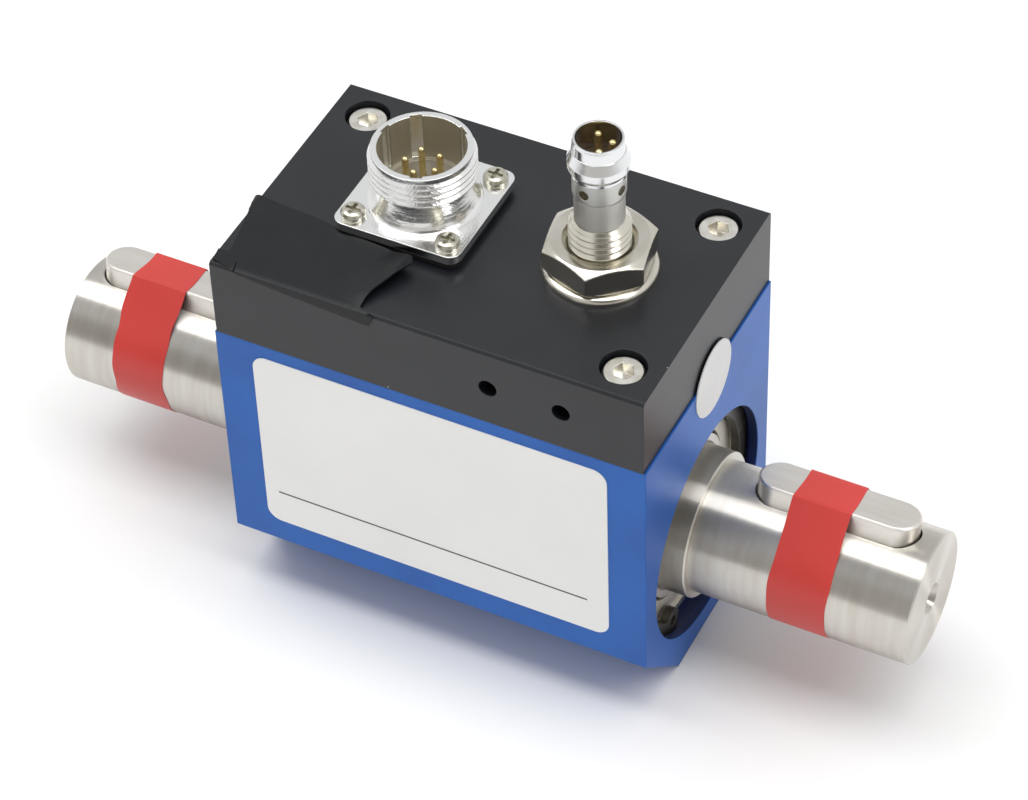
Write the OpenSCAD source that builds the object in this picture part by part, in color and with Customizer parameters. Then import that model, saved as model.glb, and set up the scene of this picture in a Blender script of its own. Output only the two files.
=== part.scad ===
// Rotary torque sensor: a keyed steel shaft on two shielded bearings in a chamfered blue housing,
// with slip rings and brushes for the torque signal and a threaded pickup for the speed.
// X runs along the shaft, the label faces -Y, and the base stands on z = 0.

/* [Housing] */
// Length of the housing along the shaft
housing_l = 60.5; // [60:0.5:80]
// Width of the housing and of the cover
housing_w = 38; // [36:0.5:50]
// Height of the housing from its base to the cover
housing_h = 46; // [44:0.5:60]
// Height of the shaft axis above the base
axis_h = 19; // [18:0.5:21]
// Chamfer along both lower edges
base_chamfer = 10; // [5:0.5:10.5]
// Step that stops each bearing's outer ring
seat_step = 1.5; // [1:0.25:1.5]
// Wall between a bearing and the cavity
seat_wall = 2; // [1:0.25:3]
// Width of the cavity under the cover
cavity_w = 27; // [25:0.5:29]
// Height of the brush block's ledges above the base
ledge_h = 37; // [36:0.5:40]
// Width of each ledge
ledge_w = 3.5; // [3:0.25:4.5]

/* [Base holes] */
// Distance between the base holes along the shaft
base_hole_pitch_x = 30; // [16:1:34]
// Distance between the base holes across the shaft
base_hole_pitch_y = 12; // [9:0.5:13]
// Diameter of a base hole before tapping
base_hole_d = 3.3; // [2.5:0.1:3.5]
// Depth of a base hole
base_hole_depth = 4.5; // [3:0.25:4.75]

/* [Cover] */
// Height of the cover
cover_h = 12; // [10:0.5:20]
// Thickness of the cover's top
cover_top_t = 4; // [3:0.25:5]
// Set-back of each end of the cover from the housing
cover_step = 0.25; // [0:0.05:1]
// Chamfer along the cover's long upper edges
cover_edge = 0.35; // [0.1:0.05:1]
// Middle of the two front holes, from the cover's right end
front_hole_inset = 16.15; // [12:0.05:25]
// Distance between the two front holes
front_hole_pitch = 10; // [6:0.5:12]
// Diameter of a front hole before tapping
front_hole_d = 2.5; // [2:0.1:3.2]
// Depth of a front hole
front_hole_depth = 5; // [3:0.25:5]

/* [Cover screws] */
// Thread diameter of a cover screw
screw_d = 3; // [2:0.5:4]
// Head diameter of a cover screw
screw_head_d = 5.5; // [4.5:0.1:5.8]
// Head height of a cover screw
screw_head_h = 3; // [2:0.25:4]
// Depth of a head below the cover's top
screw_recess = 0.7; // [0.2:0.1:2]
// Diameter of the pocket round a head
screw_pocket_d = 6; // [5.8:0.1:7]
// Distance of a screw from the cover's edges
screw_inset = 5; // [4:0.25:6]
// Length of a screw in the housing
screw_grip = 8; // [5:0.5:10]

/* [Shaft] */
// Diameter of the shaft ends
shaft_d = 18; // [15:0.5:19.5]
// Length of the left shaft end beyond the housing
left_shaft_out = 32; // [30:0.25:45]
// Length of the right shaft end beyond the housing
right_shaft_out = 31.25; // [30:0.25:45]
// Chamfer at the shaft's ends
shaft_chamfer = 0.2; // [0.1:0.1:1]
// Length of the bearing seat that shows beyond the housing
collar_out = 1.1; // [0.5:0.1:3]
// Chamfer of the bearing seats
collar_chamfer = 0.2; // [0.1:0.1:0.4]
// Diameter of the shoulder behind the left bearing
shoulder_d = 23; // [22:0.25:23.5]
// Width of that shoulder
shoulder_w = 2; // [1:0.25:3]
// Diameter of the torsion neck between slip rings and speed disc
neck_d = 14; // [10:0.5:16]
// Fillet at the ends of the torsion neck
neck_fillet = 2; // [0.5:0.25:3]
// Room between the neck and its neighbours
neck_margin = 1; // [0.5:0.25:2]
// Core diameter of the tapped centre holes
centre_hole_d = 3.3; // [2.5:0.1:5]
// Depth of the tapped centre holes
centre_hole_depth = 11; // [6:0.5:20]
// Mouth diameter of the tapped centre holes
centre_mouth_d = 4.3; // [4:0.1:6]

/* [Keys] */
// Width of a key
key_w = 6; // [4:0.25:6]
// Height of a key
key_h = 6; // [5:0.25:7]
// Length of a key
key_l = 22; // [20:0.5:24]
// Depth of a keyway below the shaft's surface
key_depth = 3.5; // [2:0.25:4]
// Distance of the left key from the shaft's end
left_key_end = 2; // [1.5:0.25:5]
// Distance of the right key from the shaft's end
right_key_end = 2.75; // [1.5:0.25:5]
// Turn of both keys about the shaft, backwards from upright
key_angle = 9; // [0:1:60]
// Chamfer of a key's edges
key_edge = 0.25; // [0.1:0.05:0.5]
// Room at each end of a key
keyway_gap = 0.3; // [0.1:0.05:0.5]

/* [Tape bands] */
// Width of a tape band
tape_w = 8; // [5:0.25:9]
// Thickness of a tape band
tape_t = 0.25; // [0.1:0.05:0.5]
// Distance of the right band from the shaft's end
right_tape_end = 11; // [8:0.25:12]
// Distance of the left band from the shaft's end
left_tape_end = 7.7; // [7:0.1:12]

/* [Bearings] */
// Bore of a bearing
bearing_bore = 20; // [19.8:0.1:20.2]
// Outside diameter of a bearing
bearing_od = 32; // [31.8:0.1:32.4]
// Width of a bearing
bearing_w = 7; // [6.5:0.25:8]
// Diameter of a bearing ball
ball_d = 3.5; // [3.2:0.1:3.8]
// Number of balls in a bearing
ball_count = 12; // [8:1:14]
// Depth of a ball's track in a ring
race_depth = 0.45; // [0.3:0.05:0.5]
// Step of a ring where a shield sits
shield_step = 0.4; // [0.3:0.05:0.6]
// Thickness of a shield
shield_t = 0.4; // [0.3:0.05:0.5]
// Depth of a shield below the bearing's face
shield_inset = 0.4; // [0.2:0.05:0.5]
// Gap between a shield and the inner ring
shield_gap = 0.6; // [0.3:0.05:0.7]
// Thickness of a cage in the bearing's radial direction
cage_t = 1.2; // [0.8:0.1:1.6]
// Width of a cage along the shaft
cage_w = 4.4; // [4.2:0.1:4.6]

/* [Circlips] */
// Thickness of a circlip
circlip_t = 1.2; // [1:0.1:1.5]
// Radial width of a circlip at its sides
circlip_w = 2.45; // [1.5:0.05:3]
// Shift of a circlip's inner circle towards its gap
circlip_shift = 0.45; // [0:0.05:0.6]
// Angle of a circlip's gap
circlip_gap = 40; // [20:1:60]
// Diameter of a circlip's lugs
lug_d = 3.6; // [3.4:0.1:4.6]
// Diameter of the holes in the lugs
lug_hole_d = 1.6; // [1:0.1:2]
// Width of a circlip's groove
groove_w = 1.8; // [1.6:0.1:2.5]
// Depth of a circlip's groove in the bore
groove_depth = 0.85; // [0.5:0.05:0.9]
// Distance of a groove from the housing's face
groove_edge = 1.3; // [1:0.1:3]

/* [Slip rings] */
// Number of slip rings
band_count = 4; // [2:1:4]
// Width of a slip ring
band_w = 2; // [1.5:0.1:2.2]
// Distance between slip rings
band_pitch = 3; // [2.6:0.1:3.2]
// Outside diameter of a slip ring
band_d = 26; // [25:0.25:27]
// Radial thickness of a slip ring
band_t = 1.5; // [0.8:0.1:1.8]
// Height of a slip ring above its sleeve
band_proud = 0.5; // [0.2:0.1:0.7]

/* [Brushes] */
// Thickness of the brush block
block_t = 3; // [2:0.25:5]
// Length of a brush along the shaft
brush_l = 1.6; // [1:0.1:1.8]
// Width of a brush across the shaft
brush_w = 3; // [2:0.25:4]
// Thickness of a brush's leaf spring
leaf_t = 0.3; // [0.2:0.05:0.5]
// Place of the rivets that hold the leaf springs
rivet_y = 8; // [6:0.25:8.2]
// Shank diameter of a rivet
rivet_d = 1.2; // [0.8:0.1:1.4]
// Head diameter of a rivet
rivet_head_d = 1.8; // [1.5:0.1:2.2]
// Head height of a rivet
rivet_head_h = 0.6; // [0.4:0.1:1]

/* [Speed disc] */
// Number of teeth on the speed disc
tooth_count = 60; // [30:1:60]
// Outside diameter of the speed disc
disc_d = 28; // [25:0.25:28.4]
// Width of the toothed rim
disc_t = 5; // [3:0.25:6]
// Depth of a tooth gap
tooth_h = 1.2; // [0.8:0.1:2]
// Diameter of the hub that meets the right bearing
hub_d = 23; // [22:0.25:23.5]
// Thread diameter of the hub's set screw
set_screw_d = 2; // [1.5:0.1:2]

/* [Strain gauges] */
// Room between a gauge foil and the neck's fillets
gauge_gap = 0.5; // [0.25:0.25:2]
// Width of a gauge foil round the neck
gauge_w = 5; // [3:0.5:6]
// Thickness of a gauge foil
gauge_t = 0.15; // [0.1:0.05:0.3]

/* [Cover row] */
// Place of the connector and the pickup behind the middle of the cover
row_y = 0.9; // [-2:0.1:2]
// Place of the connector, from the cover's left end
connector_inset = 20.3; // [18:0.1:22]
// Place of the pickup, from the cover's right end
pickup_inset = 15.2; // [15:0.1:18]

/* [Connector] */
// Side of the square flange
flange_w = 17.7; // [17:0.1:20]
// Corner radius of the flange
flange_r = 1.6; // [1:0.1:3]
// Thickness of the flange
flange_t = 1.2; // [0.8:0.1:2]
// Side of the square gasket
gasket_w = 17; // [16.6:0.1:18]
// Thickness of the gasket
gasket_t = 1.1; // [0.5:0.1:2]
// Thread diameter of the shell
shell_thread_d = 13.9; // [13:0.1:15]
// Thread pitch of the shell
shell_pitch = 0.95; // [0.75:0.05:1.5]
// Depth of the shell's thread
shell_thread_depth = 0.4; // [0.2:0.05:0.5]
// Height of the shell's rim above the cover
shell_top = 10.85; // [9.5:0.05:14]
// Lower end of the shell's thread above the cover
shell_thread_z = 6.3; // [5.5:0.1:7]
// Diameter of the smooth neck under the thread
shell_neck_d = 12.7; // [12.2:0.1:13]
// Diameter of the flare's foot on the flange
shell_boss_d = 14.8; // [14:0.1:15]
// Height of the flare between the flange and the neck
shell_flare_h = 2.6; // [1.5:0.1:3]
// Inside diameter of the shell
shell_socket_d = 11.45; // [10.8:0.05:11.8]
// Floor of the shell's socket above the cover
shell_floor = 3.95; // [3:0.05:5]
// Diameter of the shell's tail through the cover
shell_tail_d = 12; // [11.4:0.1:12.4]
// Length of the shell's tail below the cover's top
shell_tail_l = 6; // [5:0.25:8]
// Diameter of the pin insert
insert_d = 10.3; // [9:0.1:10.6]
// Number of connector pins
pin_count = 5; // [4:1:7]
// Radius of the connector's pin circle
pin_circle_r = 2.3; // [2:0.1:3.5]
// Diameter of a connector pin
pin_d = 0.9; // [0.6:0.05:1.2]
// Distance of the pin tips below the rim
pin_below = 2.2; // [1:0.1:4]
// Length of a pin's tail behind the insert
pin_tail = 2; // [1:0.25:3]
// Turn of the connector's pin circle
pin_turn = 50; // [0:1:360]
// Distance between the flange screws
flange_pitch = 13.3; // [13:0.1:15]
// Thread diameter of a flange screw
flange_screw_d = 2; // [1.5:0.1:2.2]
// Head diameter of a flange screw
flange_head_d = 3.3; // [3:0.1:4]
// Head height of a flange screw
flange_head_h = 1.1; // [1:0.1:1.6]
// Diameter of a signal lead
lead_d = 0.9; // [0.5:0.1:1.1]

/* [Pickup] */
// Thread diameter of the pickup
pickup_d = 8; // [7:0.25:8]
// Thread pitch of the pickup
pickup_pitch = 1; // [0.75:0.05:1.5]
// Upper end of the thread above the cover
pickup_thread_z = 8.4; // [7.5:0.1:10]
// Diameter of the plain barrel
barrel_d = 6.4; // [6:0.05:6.6]
// Upper end of the plain barrel
barrel_z = 12.7; // [12:0.1:14]
// Diameter of the collar under the bead
pickup_neck_d = 6.8; // [6.6:0.05:7]
// Lower edge of the catch bead
bead_z = 15.9; // [15.6:0.1:17]
// Height of the catch bead
bead_h = 3.6; // [2.8:0.1:3.8]
// Diameter of the catch bead
bead_d = 7.9; // [7.2:0.05:8]
// Diameter of the mouth's foot above the bead
mouth_d = 6.75; // [6.6:0.05:7]
// Diameter of the mouth's rim
rim_d = 6.3; // [6.2:0.05:6.6]
// Top of the plug above the cover
pickup_top = 21.3; // [21:0.1:25]
// Inside diameter of the plug
plug_d = 5.8; // [5.4:0.05:6]
// Depth of the plug
plug_depth = 5; // [4:0.1:5.2]
// Thickness of the plug's pin carrier
carrier_t = 1; // [0.5:0.1:2]
// Radius of the plug's pin circle
plug_pin_r = 1.7; // [1.4:0.05:2]
// Diameter of a plug pin
plug_pin_d = 1; // [0.6:0.05:1.1]
// Distance of the plug pins below the mouth
plug_pin_below = 0.6; // [0.3:0.1:2]
// Turn of the plug's pins
plug_turn = 27; // [0:1:360]
// Diameter of a lamp window
lamp_d = 1.4; // [0.8:0.1:1.5]
// Depth of a lamp window
lamp_depth = 0.9; // [0.5:0.1:1.5]
// Distance between the pickup's face and the speed disc
sensing_gap = 0.8; // [0.4:0.1:2]
// Diameter of the pickup's sensing face
face_d = 6.6; // [5:0.1:7]
// Thickness of the sensing face
face_t = 1.5; // [1:0.25:3]
// Width of the pickup's nut across its flats
nut_af = 13; // [12:0.25:14]
// Height of the pickup's nut
nut_t = 4; // [3:0.25:5]
// Turn of the pickup's nut
nut_turn = 41; // [0:1:60]
// Diameter of the washer under the nut
washer_d = 15; // [14.5:0.25:17]
// Thickness of that washer
washer_t = 1; // [0.9:0.1:2]
// Radius of the washer's stamped edge
washer_edge = 0.8; // [0.2:0.1:0.8]

/* [Label and tape] */
// Length of the label
label_l = 50; // [30:0.5:54]
// Height of the label
label_h = 30; // [15:0.5:32]
// Corner radius of the label
label_r = 2; // [0.5:0.25:4]
// Distance of the label's upper edge below the cover
label_drop = 2.1; // [1:0.1:4]
// Thickness of the label and the sticker
label_t = 0.15; // [0.1:0.05:0.5]
// Diameter of the round sticker across the joint
sticker_d = 10.5; // [8:0.25:14]
// Drop of the sticker's middle below the joint
sticker_drop = 1.3; // [0:0.1:3]
// Place of the sticker's middle behind the shaft
sticker_y = 1; // [-4:0.1:4]
// Length of the black strip along the cover's front edge
strip_l = 22.5; // [20:0.5:23]
// Width of the black strip on the cover's top
strip_w = 12.9; // [11:0.1:12.9]
// Skew of the black strip's back edge
strip_skew = 2.4; // [2.4:0.1:4]
// Thickness of the black strip
strip_t = 0.4; // [0.2:0.05:0.6]
// Length of the strip's fold down the front
strip_flap = 1.8; // [1:0.1:4]

/* [Fits] */
// Gap between bearings, rings and their seats
seat_fit = 0.01; // [0.005:0.005:0.02]
// Gap round keys, brushes and inserts
slide_fit = 0.03; // [0.01:0.01:0.05]
// Gap round screws and threads in their holes
thread_fit = 0.03; // [0.01:0.01:0.05]
// Gap round screws that pass through a plate
clear_fit = 0.2; // [0.1:0.05:0.3]
// Running gap between balls, tracks and cage
race_gap = 0.05; // [0.03:0.01:0.1]
// Gap between a brush and its slip ring
brush_gap = 0.1; // [0.05:0.05:0.2]
// Gap between a lead's end and its solder point
solder_gap = 0.15; // [0.1:0.05:0.3]

/* [Hidden] */
$fn = 64;
cut = 0.5;

anodised_blue = "#3e68b4";
anodised_black = "#3a3b3e";
bright_steel = "#c8c7c2";
bearing_steel = "#b9b8b2";
shield_metal = "#d6d3c8";
blackened_steel = "#232323";
nickel = "#d2d0c8";
chrome = "#d9dadb";
gold = "#d8b25a";
tape_red = "#c8433c";
rubber_black = "#1d1e1f";
vinyl_black = "#2c2c2e";
label_white = "#e6e7e4";
carrier_black = "#2a211d";
resin_brown = "#6b3f24";
copper = "#b9794a";

cover_l = housing_l - 2 * cover_step;
top_z = housing_h + cover_h;
front_hole_x = cover_l / 2 - front_hole_inset;
connector_x = connector_inset - cover_l / 2;
pickup_x = cover_l / 2 - pickup_inset;
left_end = housing_l / 2 + left_shaft_out;
right_end = housing_l / 2 + right_shaft_out;
collar_end = housing_l / 2 + collar_out;
bearing_face_x = housing_l / 2 - groove_edge - groove_w;
seat_x = bearing_face_x - bearing_w;
seat_d = bearing_od + 2 * seat_fit;
relief_d = bearing_od - 2 * seat_step;
groove_d = bearing_od + 2 * groove_depth;
cavity_l = 2 * (seat_x - seat_wall);
slot_w = cavity_w - 2 * ledge_w;

pitch_r = (bearing_bore + bearing_od) / 4;
inner_land_r = pitch_r - ball_d / 2 + race_depth;
outer_land_r = pitch_r + ball_d / 2 - race_depth;
shield_zone = shield_inset + shield_t;
ring_chamfer = 0.3;

circlip_slack = 0.1;
circlip_r = groove_d / 2 - circlip_slack;
lug_r = circlip_r - lug_d / 2 - circlip_slack;
lug_angle = circlip_gap / 2 + asin(lug_d / 2 / lug_r);

left_key_x = left_end - left_key_end - key_l;
right_key_x = right_end - right_key_end - key_l;
key_floor = shaft_d / 2 - key_depth;
key_top = key_floor + key_h;
tape_gap = 0.02;

sleeve_x = -seat_x + shoulder_w;
band_gap = band_pitch - band_w;
sleeve_l = band_count * band_pitch + band_gap;
band_x = [for (k = [0 : band_count - 1]) sleeve_x + band_gap + k * band_pitch];
sleeve_mid = sleeve_x + sleeve_l / 2;
disc_x = pickup_x - disc_t / 2;
hub_x = disc_x + disc_t;
hub_l = seat_x - hub_x;
neck_x = sleeve_x + sleeve_l + neck_margin;
neck_l = disc_x - neck_margin - neck_x;
gauge_l = neck_l - 2 * (neck_fillet + gauge_gap);

block_top = ledge_h + block_t;
rivet_top = block_top + leaf_t + rivet_head_h;
block_screw_y = slot_w / 2 + ledge_w / 2;
block_screw_grip = 4;
brush_z = axis_h + band_d / 2 + brush_gap;

flange_top = gasket_t + flange_t;
pin_angle = 360 / pin_count;
pin_spots = [for (k = [0 : pin_count - 1]) pin_circle_r * [cos(pin_turn + k * pin_angle),
                                                           sin(pin_turn + k * pin_angle)]];
plug_spots = [for (k = [0, 1, 3]) plug_pin_r * [cos(plug_turn + k * 90), sin(plug_turn + k * 90)]];
flange_spots = [for (x = [-1, 1], y = [-1, 1]) [x, y] * flange_pitch / 2];
screw_x = cover_l / 2 - screw_inset;
screw_y = housing_w / 2 - screw_inset;
screw_spots = [for (x = [-1, 1], y = [-1, 1]) [x * screw_x, y * screw_y]];
lead_pins = [2, 1, 0, pin_count - 1];
polar_turns = [55, 125, 170, 290];
polar_w = 1.6;
polar_depth = 0.3;
boss_rise = 0.1;

pickup_tip = axis_h + disc_d / 2 + sensing_gap - top_z;
plug_floor = pickup_top - plug_depth;
lamp_z = (barrel_z + bead_z) / 2;

// Shared shapes

// Moves a shape that was drawn upright so that it lies along the shaft, from x on
module along_x(x) {
    translate([x, 0, axis_h]) rotate([0, 90, 0]) children();
}

// Keeps a right-hand shape, or mirrors it to the left
module at_side(side) {
    if (side < 0) mirror([1, 0, 0]) children();
    else children();
}

// A value of the right side, or its partner on the left
function of_side(side, left, right) = side < 0 ? left : right;

// Frame of the keys: X along the shaft, Z out through the middle of the key
module key_frame(side) {
    at_side(side) translate([0, 0, axis_h]) rotate([-key_angle, 0, 0]) children();
}

module on_cover(x, y) {
    translate([x, y, top_z]) children();
}

module block(l, w, h) {
    translate([-l / 2, -w / 2, 0]) cube([l, w, h]);
}

module tube(d_out, d_in, h) {
    difference() {
        cylinder(d = d_out, h = h);
        translate([0, 0, -cut]) cylinder(d = d_in, h = h + 2 * cut);
    }
}

module chamfered_bar(d, h, c) {
    rotate_extrude() polygon([[0, 0], [d / 2 - c, 0], [d / 2, c], [d / 2, h - c], [d / 2 - c, h], [0, h]]);
}

module rounded_plate(l, w, r, h) {
    linear_extrude(h) {
        square([l - 2 * r, w], center = true);
        square([l, w - 2 * r], center = true);
        for (x = [-1, 1], y = [-1, 1]) translate([x * (l / 2 - r), y * (w / 2 - r)]) circle(r);
    }
}

// A slot with round ends that starts at the origin and runs along X
module round_slot(l, w, h) {
    translate([w / 2, -w / 2, 0]) cube([l - w, w, h]);
    for (x = [w / 2, l - w / 2]) translate([x, 0, 0]) cylinder(d = w, h = h);
}

// A straight round rod between two points
module rod(p, q, d) {
    v = q - p;
    translate(p) rotate([0, acos(v.z / norm(v)), atan2(v.y, v.x)]) cylinder(d = d, h = norm(v));
}

// Points of a ring thread's flank line, upwards from z
function thread_line(r, depth, pitch, z, turns) = [
    for (k = [0 : turns - 1], p = [[r - depth, 0.04], [r, 0.42], [r, 0.58], [r - depth, 0.96]])
        [p[0], z + (k + p[1]) * pitch]
];

// Housing and cover

module housing_section() {
    w = housing_w / 2;
    c = base_chamfer;
    polygon([[-w + c, 0], [w - c, 0], [w, c], [w, housing_h], [-w, housing_h], [-w, c]]);
}

module housing() {
    color(anodised_blue) difference() {
        translate([-housing_l / 2, 0, 0]) rotate([90, 0, 90]) linear_extrude(housing_l) housing_section();
        along_x(-seat_x - cut) cylinder(d = relief_d, h = 2 * seat_x + 2 * cut);
        for (side = [-1, 1]) at_side(side) {
            along_x(seat_x) cylinder(d = seat_d, h = housing_l / 2 - seat_x + cut);
            along_x(bearing_face_x) cylinder(d = groove_d, h = groove_w);
        }
        translate([0, 0, ledge_h]) block(cavity_l, cavity_w, housing_h - ledge_h + cut);
        translate([0, 0, axis_h]) block(cavity_l, slot_w, ledge_h - axis_h + cut);
        translate([pickup_x, row_y, axis_h]) cylinder(d = pickup_d + 2 * clear_fit, h = housing_h);
        for (s = screw_spots) translate([s.x, s.y, housing_h - screw_grip - 1])
            cylinder(d = screw_d + 2 * thread_fit, h = screw_grip + 1 + cut);
        for (y = [-1, 1]) translate([sleeve_mid, y * block_screw_y, ledge_h - block_screw_grip - 1])
            cylinder(d = flange_screw_d + 2 * thread_fit, h = block_screw_grip + 1 + cut);
        for (x = [-1, 1], y = [-1, 1])
            translate([x * base_hole_pitch_x / 2, y * base_hole_pitch_y / 2, -cut])
                cylinder(d = base_hole_d, h = base_hole_depth + cut);
    }
}

module cover_section() {
    w = housing_w / 2;
    c = cover_edge;
    polygon([[-w, 0], [w, 0], [w, cover_h - c], [w - c, cover_h], [-w + c, cover_h], [-w, cover_h - c]]);
}

module cover() {
    head_seat = top_z - screw_recess - screw_head_h;
    color(anodised_black) difference() {
        translate([-cover_l / 2, 0, housing_h]) rotate([90, 0, 90]) linear_extrude(cover_l) cover_section();
        translate([0, 0, housing_h - cut]) block(cavity_l, cavity_w, cover_h - cover_top_t + cut);
        for (s = screw_spots) translate([s.x, s.y, 0]) {
            translate([0, 0, housing_h - cut]) cylinder(d = screw_d + 2 * clear_fit, h = cover_h + 2 * cut);
            translate([0, 0, head_seat]) cylinder(d = screw_pocket_d, h = top_z - head_seat + cut);
        }
        on_cover(connector_x, row_y) {
            translate([0, 0, -cover_top_t - cut])
                cylinder(d = shell_tail_d + 2 * clear_fit, h = cover_top_t + 2 * cut);
            for (s = flange_spots) translate([s.x, s.y, -cover_top_t - cut])
                cylinder(d = flange_screw_d + 2 * thread_fit, h = cover_top_t + 2 * cut);
        }
        on_cover(pickup_x, row_y) translate([0, 0, -cover_h - cut])
            cylinder(d = pickup_d + 2 * thread_fit, h = cover_h + 2 * cut);
        for (k = [-0.5, 0.5])
            translate([front_hole_x + k * front_hole_pitch, -housing_w / 2 - cut, housing_h + cover_h / 2])
                rotate([-90, 0, 0]) cylinder(d = front_hole_d, h = front_hole_depth + cut);
    }
}

module socket_screw(d, head_d, head_h, shank_l) {
    difference() {
        union() {
            translate([0, 0, -shank_l]) cylinder(d = d, h = shank_l + head_h / 2);
            rotate_extrude() polygon([[0, 0], [head_d / 2, 0], [head_d / 2, head_h * 0.9],
                                      [head_d / 2 - head_h * 0.1, head_h], [0, head_h]]);
        }
        translate([0, 0, head_h * 0.45]) cylinder(d = d * 0.96, h = head_h, $fn = 6);
    }
}

module cover_screws() {
    seat = top_z - screw_recess - screw_head_h;
    color(nickel) for (s = screw_spots) translate([s.x, s.y, seat])
        socket_screw(screw_d, screw_head_d, screw_head_h, seat - housing_h + screw_grip);
}

// Shaft, keys and tape bands

// Ring-shaped cut that leaves the torsion neck with a fillet at each end
module neck_cut() {
    r = neck_d / 2;
    f = neck_fillet;
    rotate_extrude() {
        translate([r + f, 0]) square([bearing_bore, neck_l]);
        translate([r, f]) square([f + cut, neck_l - 2 * f]);
        for (x = [f, neck_l - f]) translate([r + f, x]) circle(f);
    }
}

module torsion_shaft() {
    color(bright_steel) difference() {
        union() {
            along_x(-left_end) chamfered_bar(shaft_d, left_end + right_end, shaft_chamfer);
            along_x(-collar_end) chamfered_bar(bearing_bore, 2 * collar_end, collar_chamfer);
            along_x(-seat_x) cylinder(d = shoulder_d, h = shoulder_w);
        }
        along_x(neck_x) neck_cut();
        for (side = [-1, 1]) {
            key_frame(side) translate([of_side(side, left_key_x, right_key_x) - keyway_gap, 0, key_floor])
                round_slot(key_l + 2 * keyway_gap, key_w + 2 * slide_fit, shaft_d);
            at_side(side) along_x(of_side(side, left_end, right_end) - centre_hole_depth) {
                cylinder(d = centre_hole_d, h = centre_hole_depth + cut);
                mouth = (centre_mouth_d - centre_hole_d) / 2 / tan(30);
                translate([0, 0, centre_hole_depth - mouth])
                    cylinder(d1 = centre_hole_d, d2 = centre_mouth_d, h = mouth);
            }
        }
    }
}

module shaft_key(side) {
    w = key_w / 2;
    c = key_edge;
    color(bright_steel) key_frame(side) translate([of_side(side, left_key_x, right_key_x), 0, key_floor]) {
        for (x = [w, key_l - w]) translate([x, 0, 0]) chamfered_bar(key_w, key_h, c);
        translate([w, 0, 0]) rotate([90, 0, 90]) linear_extrude(key_l - key_w)
            polygon([[-w + c, 0], [w - c, 0], [w, c], [w, key_h - c],
                     [w - c, key_h], [-w + c, key_h], [-w, key_h - c], [-w, c]]);
    }
}

module left_key() { shaft_key(-1); }
module right_key() { shaft_key(1); }

// Section of a band pulled tight round the shaft and over the key
module band_outline(grow) {
    r = shaft_d / 2 + tape_gap + grow;
    corner = [key_w / 2 + tape_gap + grow, key_top + tape_gap + grow];
    lift = atan2(corner.y, corner.x) - acos(r / norm(corner));
    touch = r * [cos(lift), sin(lift)];
    circle(r);
    polygon([[0, 0], touch, corner, [-corner.x, corner.y], [-touch.x, touch.y]]);
}

module tape_band(side, end_x) {
    color(tape_red) key_frame(side) translate([end_x - tape_w, 0, 0]) rotate([90, 0, 90])
        linear_extrude(tape_w) difference() {
            band_outline(tape_t);
            band_outline(0);
        }
}

module left_tape_band() { tape_band(-1, left_end - left_tape_end); }
module right_tape_band() { tape_band(1, right_end - right_tape_end); }

// Bearings and circlips

module bearing_frame(side) {
    at_side(side) along_x(seat_x) children();
}

module ball_track() {
    translate([pitch_r, bearing_w / 2]) circle(d = ball_d + 2 * race_gap);
}

module outer_ring(side) {
    r = bearing_od / 2;
    c = ring_chamfer;
    color(bearing_steel) bearing_frame(side) rotate_extrude() difference() {
        polygon([[outer_land_r, 0], [r - c, 0], [r, c], [r, bearing_w - c], [r - c, bearing_w],
                 [outer_land_r, bearing_w]]);
        ball_track();
        for (z = [-cut, bearing_w - shield_zone])
            translate([outer_land_r - cut, z]) square([shield_step + cut, shield_zone + cut]);
    }
}

module inner_ring(side) {
    r = bearing_bore / 2 + seat_fit;
    c = ring_chamfer;
    color(bearing_steel) bearing_frame(side) rotate_extrude() difference() {
        polygon([[r + c, 0], [inner_land_r, 0], [inner_land_r, bearing_w], [r + c, bearing_w],
                 [r, bearing_w - c], [r, c]]);
        ball_track();
        zone = shield_zone + shield_inset;
        for (z = [-cut, bearing_w - zone])
            translate([inner_land_r - shield_step, z]) square([shield_step + cut, zone + cut]);
    }
}

// Turns a shape on the +X side of the ball circle to the place of every ball
module each_ball() {
    for (k = [0 : ball_count - 1]) rotate(k * 360 / ball_count) translate([0, 0, bearing_w / 2]) children();
}

module balls(side) {
    color(bright_steel) bearing_frame(side) each_ball() translate([pitch_r, 0, 0]) sphere(d = ball_d);
}

module cage(side) {
    color(copper) bearing_frame(side) difference() {
        translate([0, 0, (bearing_w - cage_w) / 2])
            tube(2 * pitch_r + cage_t, 2 * pitch_r - cage_t, cage_w);
        each_ball() rotate([0, 90, 0]) cylinder(d = ball_d + 2 * race_gap, h = bearing_od / 2);
    }
}

module shields(side) {
    color(shield_metal) bearing_frame(side) for (z = [shield_inset, bearing_w - shield_zone])
        translate([0, 0, z]) tube(2 * (outer_land_r + shield_step - seat_fit),
                                  2 * (inner_land_r - shield_step + shield_gap), shield_t);
}

// Outline of a bore circlip, with its gap and lugs towards +X
module circlip_outline() {
    difference() {
        union() {
            difference() {
                circle(circlip_r);
                translate([circlip_shift, 0]) circle(circlip_r - circlip_w);
                polygon([[0, 0], 2 * circlip_r * [cos(circlip_gap / 2), -sin(circlip_gap / 2)],
                         2 * circlip_r * [cos(circlip_gap / 2), sin(circlip_gap / 2)]]);
            }
            for (k = [-1, 1]) rotate(k * lug_angle) translate([lug_r, 0]) circle(d = lug_d);
        }
        for (k = [-1, 1]) rotate(k * lug_angle) translate([lug_r, 0]) circle(d = lug_hole_d);
    }
}

module circlip(side) {
    color(blackened_steel) at_side(side) along_x(bearing_face_x) linear_extrude(circlip_t) circlip_outline();
}

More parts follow.
